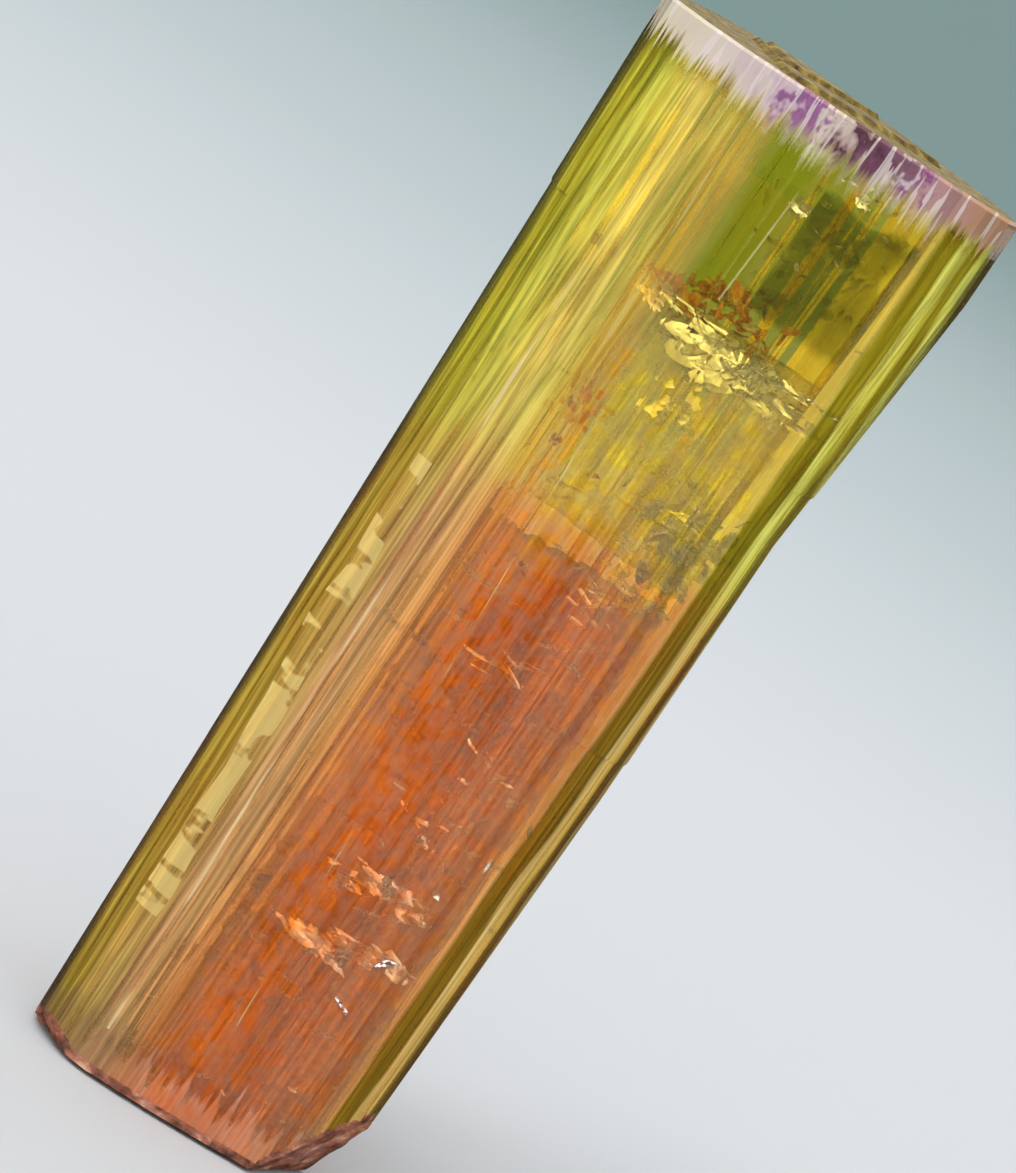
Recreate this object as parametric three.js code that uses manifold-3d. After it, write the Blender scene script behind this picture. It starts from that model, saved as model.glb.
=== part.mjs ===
// A tourmaline crystal standing on its broken base: a striated three-sided prism with convex
// sides, wider at the top, where it ends in a flat growth face. Millimetres, +Z up, origin at
// the middle of the base. The broad face that the crystal is usually shown from looks along -Y.
import * as THREE from "three";
import Module from "manifold-3d";
import { mergeVertices } from "three/addons/utils/BufferGeometryUtils.js";

const LENGTH = 50;
// Half widths to the left and right of the axis, each as [share of the length, millimetres].
const LEFT_REACH = [[0, 6.83], [1, 8.31]];
const RIGHT_REACH = [[0, 7.42], [0.42, 7.82], [0.67, 7.77], [0.92, 8.65], [1, 8.65]];

// The three prism sides in turn, anticlockwise seen from above: the compass angle of each
// side's normal, its distance from the axis, the radius that it bulges with, and the radius
// of the corner that follows it.
const SIDES = [
  { normal: -78, distance: 6.2, bulge: 34, corner: 1.9 },
  { normal: 42, distance: 6.9, bulge: 20, corner: 2.3 },
  { normal: 162, distance: 6.8, bulge: 19, corner: 3.6 },
];
// Prism faces grow at every 30 degrees from the first side, and striae are steps between them.
const FACE_STEP = 30;
const SHORTEST_STRIA = 0.45;
const LONGEST_STRIA = 2.6;
// How strongly the random widths lean towards narrow striae.
const NARROWNESS = 1.7;
const SMALLEST_STEP = 0.05;
const STRIA_SEED = 31;
// The repeatable random numbers: each is the last one times the factor, within the modulus.
const RANDOM_FACTOR = 16807;
const RANDOM_MODULUS = 2147483647;

// Later growth layers: the stretch of the outline that each covers, as shares of its length,
// the share of the crystal's length where its lower edge is, and its thickness.
const LAYERS = [
  { from: 0.03, to: 0.1, start: 0.3, thick: 0.16 },
  { from: 0.07, to: 0.2, start: 0.64, thick: 0.22 },
  { from: 0.17, to: 0.29, start: 0.45, thick: 0.18 },
  { from: 0.24, to: 0.36, start: 0.72, thick: 0.2 },
  { from: 0.4, to: 0.52, start: 0.26, thick: 0.2 },
  { from: 0.47, to: 0.6, start: 0.55, thick: 0.22 },
  { from: 0.62, to: 0.7, start: 0.19, thick: 0.16 },
  { from: 0.66, to: 0.78, start: 0.69, thick: 0.18 },
  { from: 0.8, to: 0.86, start: 0.23, thick: 0.2 },
  { from: 0.84, to: 0.93, start: 0.82, thick: 0.16 },
];
const LEDGE_HEIGHT = 0.12;

const TOP_BEVEL = { height: 0.35, inset: 0.3 };
// Triangular growth plates on the top face: radius, turn in degrees, place and height.
const TOP_PLATES = [
  { radius: 5.6, turn: 12, x: -0.6, y: -0.3, height: 0.22 },
  { radius: 3.4, turn: 12, x: -1.6, y: 0.6, height: 0.4 },
];
const PLATE_CORNERS = 3;
// Half of each cut corner of a plate, in degrees about its middle.
const CORNER_CUT = 12;
// How deep a plate reaches into the prism that carries it.
const PLATE_ROOT = 0.1;

// Flat breaks round the base: the compass angle that each faces, how far from the axis it
// meets the base plane, and its slope above the horizontal.
const BREAKS = [
  { towards: -22, reach: 5.6, slope: 62 },
  { towards: -52, reach: 6.9, slope: 40 },
  { towards: -142, reach: 7.0, slope: 38 },
  { towards: 95, reach: 7.4, slope: 35 },
  { towards: 158, reach: 6.1, slope: 24 },
];
const BREAK_BLOCK = 40;
// Points nearer to each other than this are one corner of the solid.
const SAME_POINT = 1e-4;

const wasm = await Module();
wasm.setup();

// A repeatable random number from 0 to 1.
function makeRandom(seed) {
  let state = seed;
  return () => {
    state = (RANDOM_FACTOR * state) % RANDOM_MODULUS;
    return state / RANDOM_MODULUS;
  };
}

const unit = (degrees) => {
  const angle = THREE.MathUtils.degToRad(degrees);
  return new THREE.Vector2(Math.cos(angle), Math.sin(angle));
};

// The way along a face, square to its normal.
const alongFace = (normal) => unit(normal + 90);

// Linear between the rows [share, value].
function alongLength(rows, share) {
  let next = rows.findIndex(([at]) => at >= share);
  next = Math.max(1, next < 0 ? rows.length - 1 : next);
  const [at0, value0] = rows[next - 1];
  const [at1, value1] = rows[next];
  return value0 + ((value1 - value0) * (share - at0)) / (at1 - at0);
}

// The point at those distances from a and b, the one that lies towards the given direction.
function meetingPoint(a, fromA, b, fromB, towards) {
  const apart = b.clone().sub(a);
  const length = apart.length();
  const along = (fromA ** 2 - fromB ** 2 + length ** 2) / (2 * length);
  const aside = Math.sqrt(fromA ** 2 - along ** 2);
  const foot = a.clone().addScaledVector(apart, along / length);
  const across = new THREE.Vector2(-apart.y, apart.x).multiplyScalar(aside / length);
  const points = [foot.clone().add(across), foot.clone().sub(across)];
  return points[0].dot(towards) > points[1].dot(towards) ? points[0] : points[1];
}

// The smooth outline as arcs in order: three wide ones for the sides, joined by corner arcs.
function outlineArcs() {
  const centres = SIDES.map((s) => unit(s.normal).multiplyScalar(s.distance - s.bulge));
  const corners = SIDES.map((side, i) => {
    const j = (i + 1) % SIDES.length;
    const towards = unit(side.normal).add(unit(SIDES[j].normal));
    const fromThis = side.bulge - side.corner;
    const fromNext = SIDES[j].bulge - side.corner;
    return meetingPoint(centres[i], fromThis, centres[j], fromNext, towards);
  });
  const arcs = [];
  const angleOf = (from, to) => Math.atan2(to.y - from.y, to.x - from.x);
  SIDES.forEach((side, i) => {
    const before = corners[(i + SIDES.length - 1) % SIDES.length];
    const next = (i + 1) % SIDES.length;
    const start = angleOf(centres[i], before);
    const end = angleOf(centres[i], corners[i]);
    const cornerEnd = angleOf(centres[next], corners[i]);
    arcs.push({ centre: centres[i], radius: side.bulge, start, end });
    arcs.push({ centre: corners[i], radius: side.corner, start: end, end: cornerEnd });
  });
  for (const arc of arcs) {
    if (arc.end < arc.start) {
      arc.end += 2 * Math.PI;
    }
    arc.length = arc.radius * (arc.end - arc.start);
  }
  return arcs;
}

const arcs = outlineArcs();
const perimeter = arcs.reduce((sum, arc) => sum + arc.length, 0);

// The point of the smooth outline at a distance along it.
function outlinePoint(distance) {
  let left = distance;
  for (const arc of arcs) {
    if (left <= arc.length || arc === arcs[arcs.length - 1]) {
      const angle = arc.start + Math.min(left, arc.length) / arc.radius;
      const ray = new THREE.Vector2(Math.cos(angle), Math.sin(angle));
      return ray.multiplyScalar(arc.radius).add(arc.centre);
    }
    left -= arc.length;
  }
}

// The striated outline: each chord of the smooth one becomes two faces, one on each side of it
// in direction, so that a ridge stands out between them. Each point has its share of the way.
function striatedOutline() {
  const random = makeRandom(STRIA_SEED);
  const stops = [0];
  while (stops[stops.length - 1] < perimeter - LONGEST_STRIA) {
    const step = SHORTEST_STRIA + (LONGEST_STRIA - SHORTEST_STRIA) * random() ** NARROWNESS;
    stops.push(stops[stops.length - 1] + step);
  }
  const points = [];
  stops.forEach((stop, i) => {
    const next = i + 1 < stops.length ? stops[i + 1] : perimeter;
    const here = outlinePoint(stop);
    const chord = outlinePoint(next % perimeter).sub(here);
    points.push({ at: here, share: stop / perimeter });
    const normal = THREE.MathUtils.radToDeg(Math.atan2(chord.y, chord.x)) - 90;
    const turn = THREE.MathUtils.euclideanModulo(normal - SIDES[0].normal, FACE_STEP);
    const first = alongFace(normal - turn);
    const second = alongFace(normal - turn + FACE_STEP);
    const along = chord.cross(second) / first.cross(second);
    const rest = chord.clone().addScaledVector(first, -along).length();
    if (along > SMALLEST_STEP && rest > SMALLEST_STEP) {
      const ridge = here.clone().addScaledVector(first, along);
      points.push({ at: ridge, share: (stop + along) / perimeter });
    }
  });
  return points;
}

// Outline points scaled so that the widest reach is 1 to the left and 1 to the right.
function scaledOutline() {
  const points = striatedOutline();
  const xs = points.map(({ at }) => at.x);
  const left = -Math.min(...xs);
  const right = Math.max(...xs);
  const depth = 2 / (left + right);
  return points.map(({ at, share }) => ({
    at: new THREE.Vector2(at.x / (at.x < 0 ? left : right), at.y * depth),
    out: at.clone().normalize(),
    share,
  }));
}

// How far the growth layers lift the outline there.
function lift(share, height) {
  const on = LAYERS.filter(({ from, to, start }) =>
    share > from && share < to && height > start * LENGTH);
  return on.reduce((sum, layer) => sum + layer.thick, 0);
}

// One ring of the prism's wall at a height.
function ring(outline, height, inset = 0) {
  const share = height / LENGTH;
  const left = alongLength(LEFT_REACH, share);
  const right = alongLength(RIGHT_REACH, share);
  return outline.map(({ at, out, share: way }) => {
    const off = lift(way, height) - inset;
    const x = at.x * (at.x < 0 ? left : right) + out.x * off;
    const y = (at.y * (left + right)) / 2 + out.y * off;
    return new THREE.Vector3(x, y, height);
  });
}

// The wall's heights: where the widths bend, and both edges of each layer's ledge.
function wallHeights() {
  const bends = [...LEFT_REACH, ...RIGHT_REACH].map(([share]) => share * LENGTH);
  const ledges = LAYERS.flatMap(({ start }) => [
    start * LENGTH - LEDGE_HEIGHT / 2,
    start * LENGTH + LEDGE_HEIGHT / 2,
  ]);
  const inside = [...bends, ...ledges].filter((z) => z > 0 && z < LENGTH - TOP_BEVEL.height);
  return [...new Set([0, ...inside, LENGTH - TOP_BEVEL.height])].sort((a, b) => a - b);
}

// A closed prism between rings of equal count, with flat ends.
function loft(rings) {
  const count = rings[0].length;
  const position = rings.flat().flatMap((p) => [p.x, p.y, p.z]);
  const index = [];
  for (let level = 0; level + 1 < rings.length; level++) {
    for (let i = 0; i < count; i++) {
      const a = level * count + i;
      const b = level * count + ((i + 1) % count);
      index.push(a, b, b + count, a, b + count, a + count);
    }
  }
  const flat = (r) => r.map((p) => new THREE.Vector2(p.x, p.y));
  const top = (rings.length - 1) * count;
  for (const [a, b, c] of THREE.ShapeUtils.triangulateShape(flat(rings[0]), [])) {
    index.push(a, c, b);
  }
  for (const [a, b, c] of THREE.ShapeUtils.triangulateShape(flat(rings[rings.length - 1]), [])) {
    index.push(top + a, top + b, top + c);
  }
  const geometry = new THREE.BufferGeometry();
  geometry.setAttribute("position", new THREE.Float32BufferAttribute(position, 3));
  geometry.setIndex(index);
  return geometry;
}

// A geometry as a solid that can be joined and cut.
function solid(geometry) {
  const bare = geometry.clone();
  bare.deleteAttribute("normal");
  bare.deleteAttribute("uv");
  const merged = mergeVertices(bare, SAME_POINT);
  const mesh = new wasm.Mesh({
    numProp: 3,
    vertProperties: merged.attributes.position.array,
    triVerts: new Uint32Array(merged.index.array),
  });
  return new wasm.Manifold(mesh);
}

function prism() {
  const outline = scaledOutline();
  const rings = wallHeights().map((z) => ring(outline, z));
  rings.push(ring(outline, LENGTH, TOP_BEVEL.inset));
  return solid(loft(rings));
}

// A low triangular plate with cut corners, standing on the top face.
function topPlate({ radius, turn, x, y, height }) {
  const points = [];
  for (let corner = 0; corner < PLATE_CORNERS; corner++) {
    const middle = turn + (corner * 360) / PLATE_CORNERS;
    points.push(unit(middle - CORNER_CUT).multiplyScalar(radius));
    points.push(unit(middle + CORNER_CUT).multiplyScalar(radius));
  }
  const shape = new THREE.Shape(points);
  const depth = height + PLATE_ROOT;
  const plate = new THREE.ExtrudeGeometry(shape, { depth, bevelEnabled: false });
  return solid(plate.translate(x, y, LENGTH - PLATE_ROOT));
}

// A block that takes off what lies outside one break.
function breakBlock({ towards, reach, slope }) {
  const block = new THREE.BoxGeometry(BREAK_BLOCK, BREAK_BLOCK, BREAK_BLOCK);
  block.translate(0, 0, -BREAK_BLOCK / 2);
  block.rotateY(THREE.MathUtils.degToRad(-slope));
  block.translate(reach, 0, 0);
  block.rotateZ(THREE.MathUtils.degToRad(towards));
  return solid(block);
}

function crystalGeometry() {
  let body = prism();
  for (const plate of TOP_PLATES) {
    body = body.add(topPlate(plate));
  }
  for (const cut of BREAKS) {
    body = body.subtract(breakBlock(cut));
  }
  const { vertProperties, triVerts } = body.getMesh();
  const geometry = new THREE.BufferGeometry();
  geometry.setAttribute("position", new THREE.BufferAttribute(new Float32Array(vertProperties), 3));
  geometry.setIndex(new THREE.BufferAttribute(new Uint32Array(triVerts), 1));
  geometry.computeBoundingBox();
  const middle = geometry.boundingBox.getCenter(new THREE.Vector3());
  return geometry.translate(-middle.x, -middle.y, 0);
}

const crystalMaterial = new THREE.MeshStandardMaterial({
  color: new THREE.Color(0.78, 0.66, 0.32),
  roughness: 0.12,
  metalness: 0,
});

const crystal = new THREE.Mesh(crystalGeometry(), crystalMaterial);
crystal.name = "crystal";

const tourmaline = new THREE.Group();
tourmaline.add(crystal);
export default tourmaline;
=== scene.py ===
# A zoned tourmaline crystal, standing on its broken base. Meshes are drawn in millimetres, with
# the crystal's axis at x = y = 0, and put in place in metres.
import math
import random

import bmesh
import bpy
import numpy as np
from mathutils import Matrix, Vector, noise


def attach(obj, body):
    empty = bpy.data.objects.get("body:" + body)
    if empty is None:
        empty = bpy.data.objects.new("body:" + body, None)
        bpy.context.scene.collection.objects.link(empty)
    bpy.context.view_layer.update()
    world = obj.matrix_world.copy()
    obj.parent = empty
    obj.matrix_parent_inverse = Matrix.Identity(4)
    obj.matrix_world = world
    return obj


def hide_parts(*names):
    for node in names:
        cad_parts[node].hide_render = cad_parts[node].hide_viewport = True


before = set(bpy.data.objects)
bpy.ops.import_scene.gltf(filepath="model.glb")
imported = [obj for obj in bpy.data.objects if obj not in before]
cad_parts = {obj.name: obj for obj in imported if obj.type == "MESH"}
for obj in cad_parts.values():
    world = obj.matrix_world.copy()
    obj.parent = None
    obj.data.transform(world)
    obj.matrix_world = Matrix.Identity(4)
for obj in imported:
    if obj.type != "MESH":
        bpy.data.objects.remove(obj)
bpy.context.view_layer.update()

MM = 0.001
LENGTH = 50.0

# Outline of the prism, as in the solid: half widths to the left and right along the length.
LEFT_REACH = ((0, 6.83), (1, 8.31))
RIGHT_REACH = ((0, 7.42), (0.42, 7.82), (0.67, 7.77), (0.92, 8.65), (1, 8.65))
# Each side: compass angle of its normal, distance from the axis, bulge radius, next corner radius.
SIDES = ((-78, 6.2, 34, 1.9), (42, 6.9, 20, 2.3), (162, 6.8, 19, 3.6))
# The striae's faces turn in these steps, and are this long along the outline.
FACE_STEP = 30
SHORTEST_STRIA = 0.45
LONGEST_STRIA = 2.6
NARROWNESS = 1.7
SMALLEST_STEP = 0.05
STRIA_SEED = 31
RANDOM_FACTOR = 16807
RANDOM_MODULUS = 2147483647

# Growth layers: from and to along the outline, start along the length, thickness in the solid.
LAYERS = (
    (0.03, 0.1, 0.3, 0.16), (0.07, 0.2, 0.64, 0.22), (0.17, 0.29, 0.45, 0.18),
    (0.24, 0.36, 0.72, 0.2), (0.4, 0.52, 0.26, 0.2), (0.47, 0.6, 0.55, 0.22),
    (0.62, 0.7, 0.19, 0.16), (0.66, 0.78, 0.69, 0.18), (0.8, 0.86, 0.23, 0.2),
    (0.84, 0.93, 0.82, 0.16),
)
# The layers are thinner here than in the solid, by this share.
LAYER_SHARE = 0.4
LEDGE_HEIGHT = 0.12
# The top edge is sharper than in the solid.
BEVEL_HEIGHT = 0.14
BEVEL_INSET = 0.12
# Growth plates on the top face: radius, turn, x, y, height.
TOP_PLATES = ((5.6, 12, -0.6, -0.3, 0.22), (3.4, 12, -1.6, 0.6, 0.4))
# A plate's sides and cut corners lie at these shares of its radius, and its edge is this wide.
PLATE_SIDE = 0.54
PLATE_CORNER = 0.98
PLATE_EDGE = 0.12
TOP_GRAIN = 0.024
# Breaks at the base: compass angle, distance on the base plane, slope.
BREAKS = ((-22, 5.6, 62), (-52, 6.9, 40), (-142, 7.0, 38), (95, 7.4, 35), (158, 6.1, 24))
BREAK_ROUGHNESS = 0.34

# Fine mesh of the crystal's surface. The rows are closer together over the broken foot.
COLUMN_WIDTH = 0.15
ROW_HEIGHT = 0.4
FOOT_ROW_HEIGHT = 0.12
FOOT_HEIGHT = 4.0
LEAST_ROW_HEIGHT = 0.03
LEAST_TOP_ROW_HEIGHT = 0.05
CAP_RINGS = 40

# Low strips along the faces: how many, widths in columns, lengths, thickness, and their ends.
STRIP_COUNT = 900
STRIP_SEED = 7
STRIP_WIDTHS = (1, 1, 2, 2, 3, 4, 6)
STRIP_LENGTHS = (6, 12, 25, 45, 70)
STRIP_THICKNESS = (0.002, 0.012)
STRIP_LOWEST = -30
STRIP_TAPER = 0.3
# How much of the strips shows: on the clear middle of the front, left of it, and elsewhere.
CLEAR_FROM, CLEAR_TO = -0.1, 0.72
CLEAR_RELIEF = 0.15
STRIATED_RELIEF = 0.9
OTHER_RELIEF = 0.25


def unit(degrees):
    angle = math.radians(degrees)
    return np.array((math.cos(angle), math.sin(angle)))


def meeting_point(a, from_a, b, from_b, towards):
    """The point at those distances from a and b that lies towards the given direction."""
    apart = b - a
    length = math.hypot(*apart)
    along = (from_a**2 - from_b**2 + length**2) / (2 * length)
    aside = math.sqrt(from_a**2 - along**2)
    foot = a + apart * along / length
    across = np.array((-apart[1], apart[0])) * aside / length
    return max((foot + across, foot - across), key=lambda p: p @ towards)


def outline_arcs():
    """The smooth outline as (centre, radius, start, end): three wide arcs joined by corners."""
    centres = [unit(normal) * (distance - bulge) for normal, distance, bulge, _ in SIDES]
    corners = []
    for i, (normal, _, bulge, corner) in enumerate(SIDES):
        j = (i + 1) % len(SIDES)
        towards = unit(normal) + unit(SIDES[j][0])
        reach = SIDES[j][2] - corner
        corners.append(meeting_point(centres[i], bulge - corner, centres[j], reach, towards))
    arcs = []
    for i, (_, _, bulge, corner) in enumerate(SIDES):
        j = (i + 1) % len(SIDES)
        turns = [math.atan2(*(to - frm)[::-1]) for frm, to in
                 ((centres[i], corners[i - 1]), (centres[i], corners[i]), (centres[j], corners[i]))]
        for centre, radius, start, end in ((centres[i], bulge, turns[0], turns[1]),
                                           (corners[i], corner, turns[1], turns[2])):
            if end < start:
                end += 2 * math.pi
            arcs.append((centre, radius, start, end))
    return arcs


ARCS = outline_arcs()
ARC_LENGTHS = [radius * (end - start) for _, radius, start, end in ARCS]
PERIMETER = sum(ARC_LENGTHS)


def outline_point(distance):
    """The point of the smooth outline at a distance along it."""
    left = distance
    for (centre, radius, start, _), length in zip(ARCS, ARC_LENGTHS):
        if left <= length or length is ARC_LENGTHS[-1]:
            angle = start + min(left, length) / radius
            return centre + radius * np.array((math.cos(angle), math.sin(angle)))
        left -= length


def cross(a, b):
    return a[0] * b[1] - a[1] * b[0]


def striated_outline():
    """Points of the striated outline, and each one's share of the way round."""
    state = STRIA_SEED
    stops = [0.0]
    while stops[-1] < PERIMETER - LONGEST_STRIA:
        state = (RANDOM_FACTOR * state) % RANDOM_MODULUS
        wide = (state / RANDOM_MODULUS) ** NARROWNESS
        stops.append(stops[-1] + SHORTEST_STRIA + (LONGEST_STRIA - SHORTEST_STRIA) * wide)
    points = []
    shares = []
    for stop, after in zip(stops, stops[1:] + [PERIMETER]):
        here = outline_point(stop)
        chord = outline_point(after % PERIMETER) - here
        points.append(here)
        shares.append(stop / PERIMETER)
        normal = math.degrees(math.atan2(chord[1], chord[0])) - 90
        turn = (normal - SIDES[0][0]) % FACE_STEP
        first = unit(normal - turn + 90)
        second = unit(normal - turn + FACE_STEP + 90)
        along = cross(chord, second) / cross(first, second)
        rest = math.hypot(*(chord - first * along))
        if along > SMALLEST_STEP and rest > SMALLEST_STEP:
            points.append(here + first * along)
            shares.append((stop + along) / PERIMETER)
    return np.array(points), np.array(shares)


def columns():
    """The outline in narrow columns: scaled places, radial and face directions, and shares."""
    points, shares = striated_outline()
    left, right = -points[:, 0].min(), points[:, 0].max()
    depth = 2 / (left + right)
    radial = points / np.linalg.norm(points, axis=1)[:, None]
    places = np.column_stack((points[:, 0] / np.where(points[:, 0] < 0, left, right),
                              points[:, 1] * depth))
    rows = []
    for i in range(len(points)):
        j = (i + 1) % len(points)
        edge = points[j] - points[i]
        length = math.hypot(*edge)
        normal = np.array((edge[1], -edge[0])) / length
        share_after = shares[j] if j else 1.0
        count = max(1, round(length / COLUMN_WIDTH))
        for k in range(count):
            f = k / count
            rows.append((*(places[i] * (1 - f) + places[j] * f),
                         *(radial[i] * (1 - f) + radial[j] * f), *normal,
                         shares[i] * (1 - f) + share_after * f))
    rows = np.array(rows)
    return rows[:, 0:2], rows[:, 2:4], rows[:, 4:6], rows[:, 6]


def layer_lift(shares, heights):
    """How far the growth layers stand out, for each height and column."""
    total = np.zeros((len(heights), len(shares)))
    for start, end, low, thick in LAYERS:
        over = (shares > start) & (shares < end)
        rise = np.clip((heights - low * LENGTH) / LEDGE_HEIGHT + 0.5, 0, 1)
        total += LAYER_SHARE * thick * rise[:, None] * over[None, :]
    return total


def fine_striae(shares, heights):
    """Low narrow strips along the faces, each with its own width, length and thickness."""
    draw = random.Random(STRIP_SEED)
    count = len(shares)
    total = np.zeros((len(heights), count))
    for _ in range(STRIP_COUNT):
        first = draw.randrange(count)
        wide = draw.choice(STRIP_WIDTHS)
        low = draw.uniform(STRIP_LOWEST, LENGTH)
        high = low + draw.choice(STRIP_LENGTHS) * draw.uniform(0.6, 1.3)
        thick = draw.uniform(*STRIP_THICKNESS) * draw.choice((1, 1, -1))
        rise = np.clip((heights - low) / STRIP_TAPER, 0, 1)
        fall = np.clip((high - heights) / STRIP_TAPER, 0, 1)
        over = np.arange(first, first + wide) % count
        total[:, over] += thick * (rise * fall)[:, None]
    return total


def wall_heights():
    """Heights of the wall's rows, from the base plane to the bevel below the top."""
    top = LENGTH - BEVEL_HEIGHT
    marks = [share * LENGTH for share, _ in LEFT_REACH + RIGHT_REACH]
    for _, _, low, _ in LAYERS:
        marks += [low * LENGTH - LEDGE_HEIGHT / 2, low * LENGTH + LEDGE_HEIGHT / 2]
    marks += list(np.arange(0, FOOT_HEIGHT, FOOT_ROW_HEIGHT))
    marks += list(np.arange(FOOT_HEIGHT, top, ROW_HEIGHT))
    kept = []
    for z in sorted(m for m in marks if m < top - LEAST_TOP_ROW_HEIGHT):
        if not kept or z - kept[-1] > LEAST_ROW_HEIGHT:
            kept.append(z)
    return np.array(kept + [top])


def break_height(x, y):
    """Height of the broken base there, 0 on its flat part."""
    height = np.zeros_like(x)
    for towards, reach, slope in BREAKS:
        aim = unit(towards)
        height = np.maximum(height, (x * aim[0] + y * aim[1] - reach) * math.tan(math.radians(slope)))
    return height


def ripple(x, y, size, seed):
    """Smooth noise from -1 to 1 for arrays of places, of waves about that size."""
    flat = [noise.noise(Vector((a / size, b / size, seed))) for a, b in zip(x.flat, y.flat)]
    return np.array(flat).reshape(x.shape)


def plate_rise(x, y):
    """Height of the growth plates over the top face."""
    height = np.zeros_like(x)
    for radius, turn, px, py, tall in TOP_PLATES:
        inside = np.full_like(x, 1e9)
        for k in range(3):
            for start, share in ((60, PLATE_SIDE), (0, PLATE_CORNER)):
                aim = unit(turn + start + 120 * k)
                reach = radius * share - ((x - px) * aim[0] + (y - py) * aim[1])
                inside = np.minimum(inside, reach)
        height = np.maximum(height, tall * np.clip(inside / PLATE_EDGE, 0, 1))
    return height


def crystal_mesh():
    """Points and faces of the crystal's fine surface."""
    places, radial, normals, shares = columns()
    heights = wall_heights()
    left = np.interp(heights / LENGTH, *zip(*LEFT_REACH))[:, None]
    right = np.interp(heights / LENGTH, *zip(*RIGHT_REACH))[:, None]
    lift = layer_lift(shares, heights)
    clear = (places[:, 0] > CLEAR_FROM) & (places[:, 0] < CLEAR_TO) & (places[:, 1] < 0)
    striated = (places[:, 0] <= CLEAR_FROM) & (places[:, 1] < -0.2)
    strength = np.where(striated, STRIATED_RELIEF, OTHER_RELIEF)
    relief = fine_striae(shares, heights) * np.where(clear, CLEAR_RELIEF, strength)
    x = places[:, 0] * np.where(places[:, 0] < 0, left, right)
    x = x + radial[:, 0] * lift + normals[:, 0] * relief
    y = places[:, 1] * (left + right) / 2 + radial[:, 1] * lift + normals[:, 1] * relief
    z = np.repeat(heights[:, None], len(shares), axis=1)
    wall = [(x[i], y[i], z[i]) for i in range(len(heights))]
    rim = (x[-1] - radial[:, 0] * BEVEL_INSET, y[-1] - radial[:, 1] * BEVEL_INSET,
           np.full(len(shares), LENGTH))
    top = [rim]
    bottom = []
    for k in range(1, CAP_RINGS):
        f = 1 - k / CAP_RINGS
        top.append((rim[0] * f, rim[1] * f, rim[2]))
        bottom.insert(0, (x[0] * f, y[0] * f, z[0]))
    rings = np.array(bottom + wall + top)
    px, py, pz = rings[:, 0], rings[:, 1], rings[:, 2]
    broken = break_height(px, py)
    rough = 0.7 * ripple(px, py, 1.2, 3.0) + 0.5 * ripple(px, py, 0.4, 5.0)
    rough = np.where(broken > 0, BREAK_ROUGHNESS * rough, 0)
    pz = np.maximum(pz, np.maximum(broken + rough, 0))
    first_top = len(bottom) + len(wall)
    tx, ty = px[first_top:], py[first_top:]
    pz[first_top + 1:] += plate_rise(tx, ty)[1:]
    pz[first_top + 1:] += TOP_GRAIN * (ripple(tx, ty, 0.5, 9.0) - 1)[1:]
    points = np.stack((px, py, pz), axis=-1).reshape(-1, 3)
    count = len(shares)
    last = (len(rings) - 1) * count
    ring_starts = np.arange(0, last, count)[:, None]
    a = ring_starts + np.arange(count)
    b = ring_starts + (np.arange(count) + 1) % count
    faces = np.stack((a, b, b + count, a + count), axis=-1).reshape(-1, 4).tolist()
    points = points.tolist()
    points.append([0, 0, 0])
    points.append([0, 0, float(pz[-1].mean())])
    low, high = len(points) - 2, len(points) - 1
    for i in range(count):
        j = (i + 1) % count
        faces.append((low, j, i))
        faces.append((high, last + i, last + j))
    return points, faces


CRYSTAL_POINTS, CRYSTAL_FACES = crystal_mesh()
# Every mesh is shifted so that the crystal's box is centred on the axis, as the solid's is.
SHIFT = -(np.min(CRYSTAL_POINTS, axis=0) + np.max(CRYSTAL_POINTS, axis=0)) / 2 * (1, 1, 0)


def mesh_object(name, points, faces, materials, smooth=False, merge=0.0, slots=None):
    """A mesh drawn in millimetres about the axis, as an object in metres."""
    mesh = bpy.data.meshes.new(name)
    placed = (np.array(points) + SHIFT) * MM
    mesh.from_pydata(placed.tolist(), [], faces)
    for material in materials if isinstance(materials, (list, tuple)) else [materials]:
        mesh.materials.append(material)
    if slots is not None:
        mesh.polygons.foreach_set("material_index", slots)
    mesh.validate()
    if smooth:
        mesh.shade_smooth()
    obj = bpy.data.objects.new(name, mesh)
    bpy.context.scene.collection.objects.link(obj)
    if merge:
        work = bmesh.new()
        work.from_mesh(mesh)
        bmesh.ops.remove_doubles(work, verts=work.verts, dist=merge * MM)
        bmesh.ops.dissolve_degenerate(work, edges=work.edges, dist=1e-7)
        work.to_mesh(mesh)
        work.free()
    return obj


def piece(obj):
    """A piece of the crystal: it rides on the one body."""
    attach(obj, "root")
    return obj


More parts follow.
